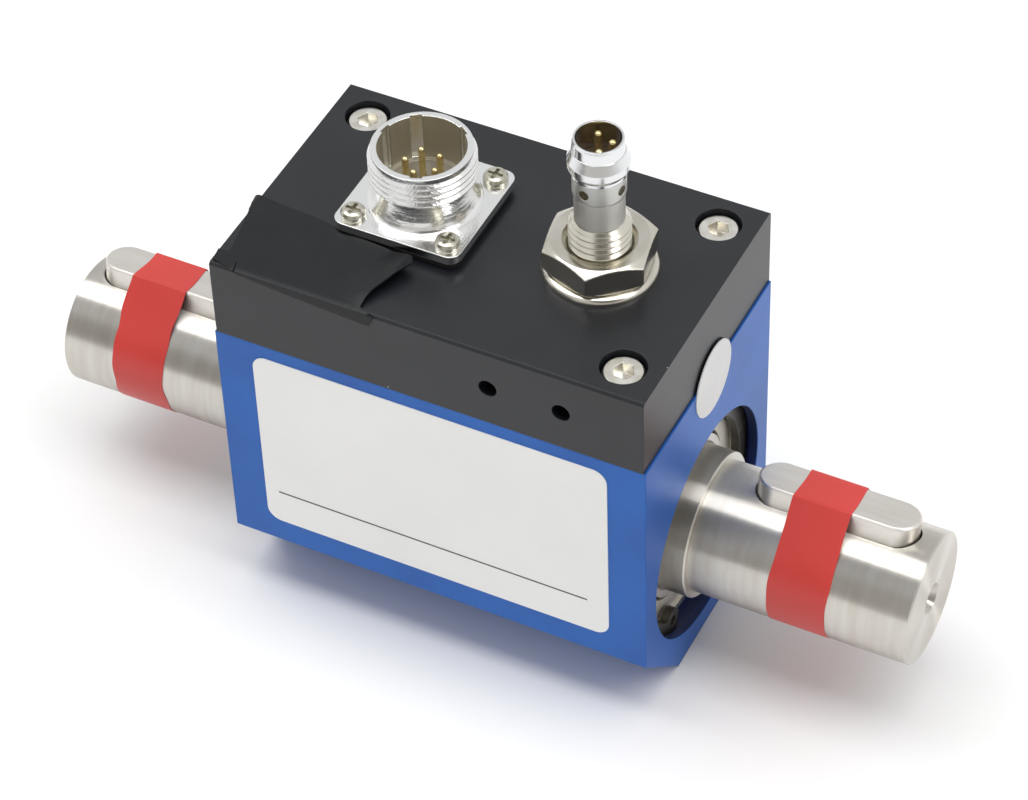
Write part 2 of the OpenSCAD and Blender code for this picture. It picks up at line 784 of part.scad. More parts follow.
module left_outer_ring() { outer_ring(-1); }
module right_outer_ring() { outer_ring(1); }
module left_inner_ring() { inner_ring(-1); }
module right_inner_ring() { inner_ring(1); }
module left_balls() { balls(-1); }
module right_balls() { balls(1); }
module left_cage() { cage(-1); }
module right_cage() { cage(1); }
module left_shields() { shields(-1); }
module right_shields() { shields(1); }
module left_circlip() { circlip(-1); }
module right_circlip() { circlip(1); }

// Slip rings, gauges and speed disc

module slip_ring_sleeve() {
    bore_r = bearing_bore / 2 + seat_fit;
    seat_r = band_d / 2 - band_t - seat_fit;
    color(resin_brown) along_x(sleeve_x) rotate_extrude() difference() {
        translate([bore_r, 0]) square([band_d / 2 - band_proud - bore_r, sleeve_l]);
        for (x = band_x) translate([seat_r, x - sleeve_x - seat_fit])
            square([band_t + cut, band_w + 2 * seat_fit]);
    }
}

module slip_rings() {
    color(copper) for (x = band_x) along_x(x) tube(band_d, band_d - 2 * band_t, band_w);
}

module strain_gauges() {
    r = neck_d / 2 + seat_fit;
    color(gold) along_x(neck_x + (neck_l - gauge_l) / 2) intersection() {
        tube(2 * (r + gauge_t), 2 * r, gauge_l);
        for (k = [0 : 3]) rotate(45 + 90 * k) translate([r / 2, -gauge_w / 2, 0]) cube([r, gauge_w, gauge_l]);
    }
}

module toothed_outline() {
    r = disc_d / 2;
    gap_w = PI * disc_d / tooth_count / 2;
    difference() {
        circle(r);
        for (k = [0 : tooth_count - 1]) rotate((k + 0.5) * 360 / tooth_count)
            translate([r - tooth_h, -gap_w / 2]) square([tooth_h + cut, gap_w]);
    }
}

module speed_disc() {
    color(bright_steel) difference() {
        along_x(disc_x) {
            linear_extrude(disc_t) toothed_outline();
            translate([0, 0, disc_t - cut]) cylinder(d = hub_d, h = hub_l + cut);
        }
        along_x(disc_x - cut) cylinder(d = bearing_bore + 2 * seat_fit, h = disc_t + hub_l + 2 * cut);
        translate([hub_x + hub_l / 2, 0, axis_h]) cylinder(d = set_screw_d + 2 * thread_fit, h = disc_d);
    }
}

module disc_set_screw() {
    r = bearing_bore / 2 + slide_fit;
    h = hub_d / 2 - r;
    color(blackened_steel) translate([hub_x + hub_l / 2, 0, axis_h + r]) difference() {
        cylinder(d = set_screw_d, h = h);
        translate([0, 0, h / 2]) cylinder(d = set_screw_d / 2, h = h, $fn = 6);
    }
}

// Brush gear

module brush_block() {
    color(resin_brown) difference() {
        translate([sleeve_mid, 0, ledge_h]) block(sleeve_l, cavity_w - 2 * slide_fit, block_t);
        for (x = band_x) translate([x + band_w / 2, 0, ledge_h - cut]) {
            block(brush_l + 2 * slide_fit, brush_w + 2 * slide_fit, block_t + 2 * cut);
            translate([0, rivet_y, 0]) cylinder(d = rivet_d + 2 * thread_fit, h = block_t + 2 * cut);
        }
        for (y = [-1, 1]) translate([sleeve_mid, y * block_screw_y, ledge_h - cut])
            cylinder(d = flange_screw_d + 2 * clear_fit, h = block_t + 2 * cut);
    }
}

module brushes() {
    color("#303030") for (x = band_x) translate([x + band_w / 2, 0, brush_z])
        block(brush_l, brush_w, block_top - brush_z);
}

module leaf_springs() {
    tail = rivet_y + rivet_head_d / 2;
    color(copper) for (x = band_x) translate([x + band_w / 2, 0, block_top]) difference() {
        translate([-brush_l / 2, -brush_w / 2, 0]) cube([brush_l, brush_w / 2 + tail, leaf_t]);
        translate([0, rivet_y, -cut]) cylinder(d = rivet_d + 2 * thread_fit, h = leaf_t + 2 * cut);
    }
}

module leaf_rivets() {
    color(gold) for (x = band_x) translate([x + band_w / 2, rivet_y, ledge_h]) {
        cylinder(d = rivet_d, h = block_t + leaf_t + rivet_head_h);
        translate([0, 0, block_t + leaf_t]) cylinder(d = rivet_head_d, h = rivet_head_h);
    }
}

// A cross-recessed pan-head screw, its head's seat at z = 0
module pan_screw(shank_l) {
    r = flange_head_d / 2;
    h = flange_head_h;
    slit = r * 0.3;
    difference() {
        union() {
            translate([0, 0, -shank_l]) cylinder(d = flange_screw_d, h = shank_l + h / 2);
            rotate_extrude()
                polygon([[0, 0], [r, 0], [r, h * 0.5], [r * 0.86, h * 0.85], [r * 0.6, h], [0, h]]);
        }
        for (a = [0, 90]) rotate(a) translate([0, 0, h * 0.45]) block(r * 1.25, slit, h);
    }
}

module brush_block_screws() {
    color(nickel) for (y = [-1, 1]) translate([sleeve_mid, y * block_screw_y, block_top])
        pan_screw(block_t + block_screw_grip);
}

// Connector

module connector_shell() {
    r = shell_thread_d / 2;
    neck = shell_neck_d / 2;
    boss = shell_boss_d / 2;
    flare = boss - neck;
    flare_z = flange_top + boss_rise;
    step = 15;
    turns = floor((shell_top - shell_thread_z) / shell_pitch);
    outline = concat(
        [[0, -shell_tail_l], [shell_tail_d / 2, -shell_tail_l], [shell_tail_d / 2, gasket_t]],
        [[boss, gasket_t]],
        [for (a = [0 : step : 90]) [boss - flare * sin(a), flare_z + shell_flare_h * (1 - cos(a))]],
        [[neck, shell_thread_z]],
        thread_line(r, shell_thread_depth, shell_pitch, shell_thread_z, turns),
        [[r - shell_thread_depth, shell_top], [0, shell_top]]
    );
    color(chrome) on_cover(connector_x, row_y) difference() {
        union() {
            rotate_extrude() polygon(outline);
            translate([0, 0, gasket_t]) rounded_plate(flange_w, flange_w, flange_r, flange_t);
        }
        translate([0, 0, shell_floor]) cylinder(d = shell_socket_d, h = shell_top);
        translate([0, 0, -shell_tail_l - cut])
            cylinder(d = insert_d + 2 * slide_fit, h = shell_tail_l + shell_floor + 2 * cut);
        for (a = polar_turns) rotate(a) translate([shell_socket_d / 2 - cut, -polar_w / 2, shell_floor])
            cube([cut + polar_depth, polar_w, shell_top]);
        for (s = flange_spots) translate([s.x, s.y, 0])
            cylinder(d = flange_screw_d + 2 * clear_fit, h = flange_top + cut);
    }
}

module connector_insert() {
    color(carrier_black) on_cover(connector_x, row_y) difference() {
        translate([0, 0, -shell_tail_l]) cylinder(d = insert_d, h = shell_tail_l + shell_floor);
        for (s = pin_spots) translate([s.x, s.y, -shell_tail_l - cut])
            cylinder(d = pin_d + 2 * slide_fit, h = shell_tail_l + shell_floor + 2 * cut);
    }
}

// A round pin with a domed tip
module contact_pin(d, z0, z1) {
    translate([0, 0, z0]) cylinder(d = d, h = z1 - d / 2 - z0);
    translate([0, 0, z1 - d / 2]) sphere(d = d);
}

module connector_pins() {
    color(gold) on_cover(connector_x, row_y) for (s = pin_spots) translate([s.x, s.y, 0])
        contact_pin(pin_d, -shell_tail_l - pin_tail, shell_top - pin_below);
}

module connector_gasket() {
    color(rubber_black) on_cover(connector_x, row_y) difference() {
        rounded_plate(gasket_w, gasket_w, flange_r, gasket_t);
        translate([0, 0, -cut]) cylinder(d = shell_tail_d + 2 * clear_fit, h = gasket_t + 2 * cut);
        for (s = flange_spots) translate([s.x, s.y, -cut])
            cylinder(d = flange_screw_d + 2 * clear_fit, h = gasket_t + 2 * cut);
    }
}

module connector_screws() {
    color(nickel) on_cover(connector_x, row_y) for (s = flange_spots) translate([s.x, s.y, flange_top])
        pan_screw(flange_top + cover_top_t);
}

// Leads from the pin tails to the brush rivets
module signal_leads() {
    color(tape_red) for (k = [0 : band_count - 1]) {
        s = pin_spots[lead_pins[k]];
        p = [connector_x + s.x, row_y + s.y, top_z - shell_tail_l - pin_tail - solder_gap - lead_d / 2];
        q = [band_x[k] + band_w / 2, rivet_y, rivet_top + solder_gap + lead_d / 2];
        rod(p, q, lead_d);
    }
}

// Speed pickup

module pickup_barrel() {
    r = pickup_d / 2;
    flank = 0.4;
    lip = 0.35;
    groove = 0.06;
    ring_r = pickup_neck_d / 2 + 0.1;
    bead_r = bead_d / 2;
    mouth_r = mouth_d / 2;
    mouth_z = bead_z + bead_h;
    thread_z = washer_t + nut_t - pickup_pitch;
    turns = floor((pickup_thread_z - flank - thread_z) / pickup_pitch);
    outline = concat(
        [[0, pickup_tip], [r - flank, pickup_tip], [r, pickup_tip + flank], [r, thread_z]],
        thread_line(r, flank, pickup_pitch, thread_z, turns),
        [[r - flank, pickup_thread_z - flank], [barrel_d / 2, pickup_thread_z]],
        [[barrel_d / 2, barrel_z], [pickup_neck_d / 2 - groove, barrel_z]],
        [[pickup_neck_d / 2, barrel_z + lip], [pickup_neck_d / 2, bead_z], [ring_r, bead_z]],
        [for (p = [[ring_r, 0.14], [bead_r, 0.34], [bead_r, 0.62]]) [p[0], bead_z + p[1] * bead_h]],
        [[mouth_r, mouth_z], [mouth_r - groove, mouth_z]],
        [[(mouth_r + rim_d / 2) / 2, pickup_top - lip], [rim_d / 2, pickup_top], [0, pickup_top]]
    );
    color(nickel) on_cover(pickup_x, row_y) difference() {
        rotate_extrude() polygon(outline);
        translate([0, 0, plug_floor]) cylinder(d = plug_d, h = plug_depth + cut);
        translate([0, 0, pickup_tip - cut]) cylinder(d = face_d, h = face_t + cut);
        for (k = [0 : 3]) lamp_place(k) cylinder(d = lamp_d, h = pickup_d);
    }
}

// Frame of one lamp window: Z points out of the barrel
module lamp_place(k) {
    rotate(plug_turn - 36 + 90 * k) translate([pickup_neck_d / 2 - lamp_depth, 0, lamp_z])
        rotate([0, 90, 0]) children();
}

module pickup_lamps() {
    color("#c9a94a") on_cover(pickup_x, row_y) for (k = [0 : 3]) lamp_place(k)
        cylinder(d = lamp_d - 2 * slide_fit, h = lamp_depth - slide_fit);
}

module pickup_face() {
    color(vinyl_black) on_cover(pickup_x, row_y) translate([0, 0, pickup_tip])
        cylinder(d = face_d - 2 * slide_fit, h = face_t);
}

module pickup_carrier() {
    color(carrier_black) on_cover(pickup_x, row_y) difference() {
        translate([0, 0, plug_floor]) cylinder(d = plug_d - 2 * slide_fit, h = carrier_t);
        for (s = plug_spots) translate([s.x, s.y, plug_floor - cut])
            cylinder(d = plug_pin_d + 2 * slide_fit, h = carrier_t + 2 * cut);
    }
}

module pickup_pins() {
    color(gold) on_cover(pickup_x, row_y) for (s = plug_spots) translate([s.x, s.y, 0])
        contact_pin(plug_pin_d, plug_floor, pickup_top - plug_pin_below);
}

module pickup_nut() {
    flat = nut_af / 2;
    corner = flat / cos(30);
    land = flat * 0.96;
    reach = corner + cut;
    rise = (reach - land) * tan(30);
    bore = pickup_d + 2 * thread_fit;
    sink = 0.75;
    color(nickel) on_cover(pickup_x, row_y) translate([0, 0, washer_t]) difference() {
        intersection() {
            rotate(nut_turn) cylinder(r = corner, h = nut_t, $fn = 6);
            rotate_extrude()
                polygon([[0, 0], [land, 0], [reach, rise], [reach, nut_t - rise], [land, nut_t], [0, nut_t]]);
        }
        translate([0, 0, -cut]) cylinder(d = bore, h = nut_t + 2 * cut);
        translate([0, 0, nut_t - sink]) cylinder(d1 = bore, d2 = bore + 2 * sink, h = sink);
        cylinder(d1 = bore + 2 * sink, d2 = bore, h = sink);
    }
}

module pickup_washer() {
    bore = pickup_d / 2 + clear_fit;
    r = washer_d / 2 - washer_edge;
    z = washer_t - washer_edge;
    step = 18;
    color(nickel) on_cover(pickup_x, row_y) rotate_extrude() polygon(concat(
        [[bore, 0], [r + washer_edge, 0]],
        [for (a = [0 : step : 90]) [r + washer_edge * cos(a), z + washer_edge * sin(a)]],
        [[bore, washer_t]]
    ));
}

// Label, sticker and strip

module label_plate() {
    z = housing_h - label_drop - label_h / 2;
    color(label_white) translate([0, -housing_w / 2, z]) rotate([90, 0, 0])
        rounded_plate(label_l, label_h, label_r, label_t);
}

module joint_sticker() {
    color(label_white) translate([housing_l / 2, sticker_y, housing_h - sticker_drop]) rotate([0, 90, 0])
        cylinder(d = sticker_d, h = label_t);
}

// Outline of the strip on the cover's top, from the cover's front left corner
module strip_outline() {
    t = strip_t;
    back = strip_w - strip_skew;
    difference() {
        polygon([[-t, strip_w], [strip_l * 0.84, back], [strip_l, back - 1.6], [strip_l * 0.91, back * 0.32],
                 [strip_l * 0.95, 0.5], [strip_l + 0.7, -t], [-t, -t]]);
        polygon([[-1, strip_w * 0.54], [1.3, strip_w * 0.22], [-1, strip_w * 0.2]]);
    }
}

module black_strip() {
    t = strip_t;
    l = strip_l;
    color(vinyl_black) translate([-cover_l / 2, -housing_w / 2, top_z]) {
        linear_extrude(t) strip_outline();
        rotate([90, 0, 0]) linear_extrude(t)
            polygon([[l * 0.15, t], [l + 0.7, t], [l, -strip_flap], [l * 0.16, -strip_flap * 0.15]]);
        translate([-t, 0, 0]) rotate([90, 0, 90]) linear_extrude(t)
            polygon([[strip_w, t], [strip_w * 0.52, t], [strip_w * 0.55, -strip_flap],
                     [strip_w, -strip_flap]]);
    }
}

housing();
cover();
cover_screws();
torsion_shaft();
left_key();
right_key();
left_tape_band();
right_tape_band();
left_outer_ring();
right_outer_ring();
left_inner_ring();
right_inner_ring();
left_balls();
right_balls();
left_cage();
right_cage();
left_shields();
right_shields();
left_circlip();
right_circlip();
slip_ring_sleeve();
slip_rings();
strain_gauges();
speed_disc();
disc_set_screw();
brush_block();
brushes();
leaf_springs();
leaf_rivets();
brush_block_screws();
connector_shell();
connector_insert();
connector_pins();
connector_gasket();
connector_screws();
signal_leads();
pickup_barrel();
pickup_face();
pickup_carrier();
pickup_pins();
pickup_lamps();
pickup_nut();
pickup_washer();
label_plate();
joint_sticker();
black_strip();
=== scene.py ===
import math
import bpy
from mathutils import Matrix, Vector


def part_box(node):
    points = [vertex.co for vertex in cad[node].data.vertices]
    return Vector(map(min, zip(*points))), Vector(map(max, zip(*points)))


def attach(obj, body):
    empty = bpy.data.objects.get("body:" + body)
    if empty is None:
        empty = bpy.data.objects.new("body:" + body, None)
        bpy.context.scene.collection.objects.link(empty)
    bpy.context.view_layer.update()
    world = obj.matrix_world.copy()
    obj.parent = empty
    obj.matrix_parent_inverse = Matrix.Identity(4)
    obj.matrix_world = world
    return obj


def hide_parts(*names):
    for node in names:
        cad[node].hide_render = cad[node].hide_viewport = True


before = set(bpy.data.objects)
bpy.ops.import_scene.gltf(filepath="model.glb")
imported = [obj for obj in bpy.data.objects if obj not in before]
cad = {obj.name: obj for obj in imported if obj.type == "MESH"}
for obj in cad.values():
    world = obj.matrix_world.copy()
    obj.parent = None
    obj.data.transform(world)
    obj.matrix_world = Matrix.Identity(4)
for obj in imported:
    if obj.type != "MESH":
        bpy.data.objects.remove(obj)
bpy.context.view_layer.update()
scene = bpy.context.scene
mm = 0.001
print("frame loaded:", len(cad), "nodes")

# camera, as the photo was taken: the values come from a fit to the body's edges
cameraSet = {
    "azimuth": 28.04,
    "elevation": 45.18,
    "roll": -2.25,
    "lens": 131.28,
    "sensor": 36,
    "nearest": 0.01,  # metres
    "distance": 470.7,
    "across": -2.89,
    "upward": 20.51,
    "coverTop": 58.0,
}


def placeCamera(settings):
    a, e, r = (math.radians(settings[k]) for k in ("azimuth", "elevation", "roll"))
    back = Vector((math.sin(a) * math.cos(e), -math.cos(a) * math.cos(e), math.sin(e)))
    level = Vector((math.cos(a), math.sin(a), 0))
    rise = back.cross(level)
    right = math.cos(r) * level + math.sin(r) * rise
    up = math.cos(r) * rise - math.sin(r) * level
    spot = back * settings["distance"] - right * settings["across"] - up * settings["upward"]
    spot.z += settings["coverTop"]
    data = bpy.data.cameras.new("camera")
    data.sensor_fit = "HORIZONTAL"
    data.sensor_width = settings["sensor"]
    data.lens = settings["lens"]
    data.clip_start = settings["nearest"]
    camera = bpy.data.objects.new("camera", data)
    turn = Matrix((right, up, back)).transposed().to_4x4()
    camera.matrix_world = Matrix.Translation(spot * mm) @ turn
    scene.collection.objects.link(camera)
    scene.camera = camera


placeCamera(cameraSet)
scene.view_settings.view_transform = "Standard"
print("camera placed")


# sRGB hex to linear, by the standard curve
def linearColour(hexText):
    parts = [int(hexText[k:k + 2], 16) / 255 for k in (1, 3, 5)]
    return [p / 12.92 if p <= 0.04045 else ((p + 0.055) / 1.055) ** 2.4 for p in parts] + [1]


# a colour Mix node has its factor at input 0, its colours at 6 and 7, and gives its colour at output 2
def addNode(tree, kind, inputs=None, **settings):
    made = tree.nodes.new(kind)
    for key, value in settings.items():
        setattr(made, key, value)
    for key, value in (inputs or {}).items():
        if isinstance(value, bpy.types.NodeSocket):
            tree.links.new(value, made.inputs[key])
        else:
            made.inputs[key].default_value = value
    return made


def newMaterial(name, hexColour, **shaderValues):
    material = bpy.data.materials.new(name)
    material.use_nodes = True
    tree = material.node_tree
    shader = tree.nodes["Principled BSDF"]
    shader.inputs["Base Color"].default_value = linearColour(hexColour)
    for key, value in shaderValues.items():
        shader.inputs[key].default_value = value
    coords = addNode(tree, "ShaderNodeTexCoord").outputs["Object"]
    return material, tree, shader, coords


def perMm(size):
    return 1 / (size * mm)  # texture scale for a pattern of this size in millimetres


# spans and detail of the noises that the finishes share
noiseSet = {"toneSpan": (0.35, 0.65), "toneDetail": 4, "dullSpan": (0.3, 0.7), "dullDetail": 5,
            "reliefDetail": 3, "edgeSamples": 6}


# two tones mixed by a soft noise, into a shader's colour
def mottle(tree, shader, coords, darkHex, lightHex, size, stretch=(1, 1, 1)):
    place = addNode(tree, "ShaderNodeMapping", {"Vector": coords, "Scale": stretch}).outputs["Vector"]
    noise = addNode(tree, "ShaderNodeTexNoise", {"Vector": place, "Scale": perMm(size),
                                                 "Detail": noiseSet["toneDetail"]})
    low, high = noiseSet["toneSpan"]
    span = addNode(tree, "ShaderNodeMapRange", {"Value": noise.outputs["Fac"], "From Min": low, "From Max": high})
    tones = addNode(tree, "ShaderNodeMix", {0: span.outputs["Result"], 6: linearColour(darkHex),
                                            7: linearColour(lightHex)}, data_type="RGBA")
    tree.links.new(tones.outputs[2], shader.inputs["Base Color"])
    return tones.outputs[2]


# roughness that wanders between two values
def roughen(tree, shader, coords, low, high, size):
    noise = addNode(tree, "ShaderNodeTexNoise", {"Vector": coords, "Scale": perMm(size),
                                                 "Detail": noiseSet["dullDetail"]})
    start, end = noiseSet["dullSpan"]
    span = addNode(tree, "ShaderNodeMapRange", {"Value": noise.outputs["Fac"], "From Min": start, "From Max": end,
                                                "To Min": low, "To Max": high})
    tree.links.new(span.outputs["Result"], shader.inputs["Roughness"])


# fine relief; the sharp edges of the solid are rounded by the radius edge, unless it is 0
def relief(tree, shader, coords, size, height, edge, stretch=(1, 1, 1)):
    place = addNode(tree, "ShaderNodeMapping", {"Vector": coords, "Scale": stretch}).outputs["Vector"]
    noise = addNode(tree, "ShaderNodeTexNoise", {"Vector": place, "Scale": perMm(size),
                                                 "Detail": noiseSet["reliefDetail"]})
    bump = addNode(tree, "ShaderNodeBump", {"Height": noise.outputs["Fac"], "Distance": height * mm,
                                            "Strength": 1.0})
    if edge:
        rounded = addNode(tree, "ShaderNodeBevel", {"Radius": edge * mm}, samples=noiseSet["edgeSamples"])
        tree.links.new(rounded.outputs["Normal"], bump.inputs["Normal"])
    tree.links.new(bump.outputs["Normal"], shader.inputs["Normal"])


def dress(material, *names):
    for name in names:
        cad[name].data.materials.clear()
        cad[name].data.materials.append(material)


# anodised aluminium, bead blasted and dyed blue: even satin colour, a soft sheen at low angles;
# the blast marks are drawn coarser than real ones so that they show
blueAnodised, tree, shader, coords = newMaterial("blueAnodisedAluminium", "#0f56a8", Metallic=0.25, Roughness=0.4)
plain = mottle(tree, shader, coords, "#0b54a6", "#105db2", size=14)
boreShadeSet = {"axisHeight": 19.0, "radius": 17.2, "face": 30.15, "hex": "#0e2862"}  # painted shade: the bore walls are darkened to stand for the shade inside the bores
# painted shade: within the bore radius of the shaft's axis and between the housing's end faces, the blue gives way to
# the dark shade colour
place = addNode(tree, "ShaderNodeSeparateXYZ", {0: coords})
lower = addNode(tree, "ShaderNodeMath", {0: place.outputs["Z"], 1: boreShadeSet["axisHeight"] * mm},
                operation="SUBTRACT")
reach = addNode(tree, "ShaderNodeCombineXYZ", {"X": place.outputs["Y"], "Y": lower.outputs[0]})
reach = addNode(tree, "ShaderNodeVectorMath", {0: reach.outputs["Vector"]}, operation="LENGTH")
inside = addNode(tree, "ShaderNodeMath", {0: reach.outputs["Value"], 1: boreShadeSet["radius"] * mm},
                 operation="LESS_THAN")
along = addNode(tree, "ShaderNodeMath", {0: place.outputs["X"]}, operation="ABSOLUTE")
along = addNode(tree, "ShaderNodeMath", {0: along.outputs[0], 1: boreShadeSet["face"] * mm}, operation="LESS_THAN")
boreShadeMask = addNode(tree, "ShaderNodeMath", {0: inside.outputs[0], 1: along.outputs[0]}, operation="MULTIPLY")
tones = addNode(tree, "ShaderNodeMix", {0: boreShadeMask.outputs[0], 6: plain, 7: linearColour(boreShadeSet["hex"])},
                data_type="RGBA")
tree.links.new(tones.outputs[2], shader.inputs["Base Color"])
relief(tree, shader, coords, size=0.35, height=0.006, edge=0.25)
dress(blueAnodised, "housing")

# anodised aluminium, milled and dyed black: charcoal with a grey sheen where it is seen along the surface;
# its fine marks are drawn coarser than real ones so that they show
blackAnodised, tree, shader, coords = newMaterial("blackAnodisedAluminium", "#15171b", Roughness=0.36)
plain = mottle(tree, shader, coords, "#121418", "#181a1f", size=10)
dustSet = {"apart": 5.0, "size": 0.1, "share": 0.72, "hex": "#9fa0a2"}  # a few light specks, as far apart as this
specks = addNode(tree, "ShaderNodeTexVoronoi", {"Vector": coords, "Scale": perMm(dustSet["apart"])})
near = addNode(tree, "ShaderNodeMath", {0: specks.outputs["Distance"], 1: dustSet["size"] / dustSet["apart"]},
               operation="LESS_THAN")
draw = addNode(tree, "ShaderNodeSeparateColor", {0: specks.outputs["Color"]})
some = addNode(tree, "ShaderNodeMath", {0: draw.outputs[0], 1: dustSet["share"]}, operation="GREATER_THAN")
dusty = addNode(tree, "ShaderNodeMath", {0: near.outputs[0], 1: some.outputs[0]}, operation="MULTIPLY")
tones = addNode(tree, "ShaderNodeMix", {0: dusty.outputs[0], 6: plain, 7: linearColour(dustSet["hex"])},
                data_type="RGBA")
tree.links.new(tones.outputs[2], shader.inputs["Base Color"])
relief(tree, shader, coords, size=0.3, height=0.006, edge=0.2)
dress(blackAnodised, "cover")

# ground shaft steel: bright grey, its fine rings draw every highlight out along the shaft; the turned collar
# is a touch smoother; the rings are drawn coarser than real grinding marks so that they show
shaftSet = {"axisHeight": 19.0, "ground": 9.3, "groundDull": 0.32, "turnedDull": 0.3}
groundSteel, tree, shader, coords = newMaterial("groundShaftSteel", "#d0ccc4", Metallic=1.0, Anisotropic=1.0)
shader.inputs["Anisotropic Rotation"].default_value = 0.25
mottle(tree, shader, coords, "#cbc6bd", "#d4d1ca", size=5, stretch=(4, 0.5, 0.5))
relief(tree, shader, coords, size=1.0, height=0.0006, edge=0, stretch=(8, 0.05, 0.05))
turned = addNode(tree, "ShaderNodeTangent", direction_type="RADIAL", axis="X")
tree.links.new(turned.outputs["Tangent"], shader.inputs["Tangent"])
fromAxis = addNode(tree, "ShaderNodeVectorMath", {0: coords, 1: (0, 0, shaftSet["axisHeight"] * mm)},
                   operation="SUBTRACT")
across = addNode(tree, "ShaderNodeVectorMath", {0: fromAxis.outputs["Vector"], 1: (0, 1, 1)}, operation="MULTIPLY")
reach = addNode(tree, "ShaderNodeVectorMath", {0: across.outputs["Vector"]}, operation="LENGTH")
wide = addNode(tree, "ShaderNodeMath", {0: reach.outputs["Value"], 1: shaftSet["ground"] * mm},
               operation="GREATER_THAN")
dull = addNode(tree, "ShaderNodeMapRange", {"Value": wide.outputs[0], "To Min": shaftSet["groundDull"],
                                            "To Max": shaftSet["turnedDull"]})
tree.links.new(dull.outputs["Result"], shader.inputs["Roughness"])
dress(groundSteel, "torsion_shaft", "speed_disc")

# drawn key steel: bright grey with lines along the key
keySteel, tree, shader, coords = newMaterial("drawnKeySteel", "#e2ddd6", Metallic=1.0, Roughness=0.36)
mottle(tree, shader, coords, "#dfdad2", "#e6e2dc", size=4, stretch=(0.4, 3, 3))
relief(tree, shader, coords, size=0.8, height=0.002, edge=0.2, stretch=(0.15, 4, 4))
dress(keySteel, "left_key", "right_key")

# polyester film tape: red, satin, with faint ripples from pulling
redFilm, tree, shader, coords = newMaterial("redFilmTape", "#c83831", Roughness=0.36, IOR=1.5)
mottle(tree, shader, coords, "#c5362f", "#cb3b35", size=12)
relief(tree, shader, coords, size=3.5, height=0.02, edge=0)

# bearing steel, ground: pale satin grey
bearingSteel, tree, shader, coords = newMaterial("groundBearingSteel", "#e0ddd6", Metallic=1.0)
roughen(tree, shader, coords, low=0.36, high=0.5, size=1.5)
relief(tree, shader, coords, size=0.6, height=0.003, edge=0.15)
dress(bearingSteel, "left_outer_ring", "right_outer_ring", "left_inner_ring", "right_inner_ring",
      "left_balls", "right_balls")

# pressed tinplate: warm pale grey, satin
shieldTin, tree, shader, coords = newMaterial("pressedTinplate", "#e8e4d8", Metallic=0.85, Roughness=0.46)
mottle(tree, shader, coords, "#dfdacb", "#efece3", size=3)
dress(shieldTin, "left_shields", "right_shields")

# phosphated spring steel: dark grey, satin, with a crystal grain drawn coarser so that it shows
springSteel, tree, shader, coords = newMaterial("phosphatedSpringSteel", "#55524e", Metallic=0.7, Roughness=0.42)
mottle(tree, shader, coords, "#4d4a45", "#5f5c57", size=2)
relief(tree, shader, coords, size=0.3, height=0.006, edge=0.15)
dress(springSteel, "left_circlip", "right_circlip", "disc_set_screw")

# stainless screw steel: bright with a warm tint
screwSteel, tree, shader, coords = newMaterial("stainlessScrewSteel", "#e4e0d6", Metallic=1.0, Roughness=0.24)
mottle(tree, shader, coords, "#d9d5ca", "#eceae3", size=1.5)
relief(tree, shader, coords, size=0.4, height=0.004, edge=0.12)
dress(screwSteel, "cover_screws", "brush_block_screws")

# zinc plating on the small pan heads: greyer, with a hint of green
zincPlated, tree, shader, coords = newMaterial("zincPlatedScrew", "#c6c3b4", Metallic=1.0, Roughness=0.26)
mottle(tree, shader, coords, "#b8b5a4", "#d2cfc3", size=1.2)
relief(tree, shader, coords, size=0.4, height=0.006, edge=0.15)
dress(zincPlated, "connector_screws")

# nickel plating on brass: warm white metal, smooth
nickel, tree, shader, coords = newMaterial("nickelPlatedBrass", "#d2cec3", Metallic=1.0, Roughness=0.18)
mottle(tree, shader, coords, "#cbc7bb", "#d9d5cb", size=5)
relief(tree, shader, coords, size=0.5, height=0.002, edge=0.25)
dress(nickel, "pickup_nut", "pickup_washer")

# the pickup's barrel: nickel on the thread, dull on the plain part, satin round the lamps, polished on the plug
barrelSet = {"foot": 58.0, "height": 22.0,
             "colours": [(0.0, "#dad6ca"), (0.386, "#cdccc6"), (0.577, "#d3d3cf"), (0.718, "#e4e5e6")],
             "dullness": [(0.0, 0.22), (0.386, 0.46), (0.577, 0.36), (0.718, 0.16)]}
barrelSkin, tree, shader, coords = newMaterial("platedPickupBarrel", "#d2cec3", Metallic=1.0)
place = addNode(tree, "ShaderNodeSeparateXYZ", {0: coords})
height = addNode(tree, "ShaderNodeMapRange", {"Value": place.outputs["Z"], "From Min": barrelSet["foot"] * mm,
                                              "From Max": (barrelSet["foot"] + barrelSet["height"]) * mm})
zoneColour = addNode(tree, "ShaderNodeValToRGB", {"Fac": height.outputs["Result"]})
zoneRough = addNode(tree, "ShaderNodeValToRGB", {"Fac": height.outputs["Result"]})
for ramp, steps in ((zoneColour.color_ramp, barrelSet["colours"]), (zoneRough.color_ramp, barrelSet["dullness"])):
    ramp.interpolation = "CONSTANT"
    for share, value in steps[2:]:  # a new ramp has two elements already
        ramp.elements.new(share)
    for element, (share, value) in zip(ramp.elements, steps):
        element.position = share
        element.color = linearColour(value) if isinstance(value, str) else (value, value, value, 1)
tree.links.new(zoneColour.outputs["Color"], shader.inputs["Base Color"])
tree.links.new(zoneRough.outputs["Color"], shader.inputs["Roughness"])
relief(tree, shader, coords, size=0.4, height=0.002, edge=0.12)
dress(barrelSkin, "pickup_barrel")

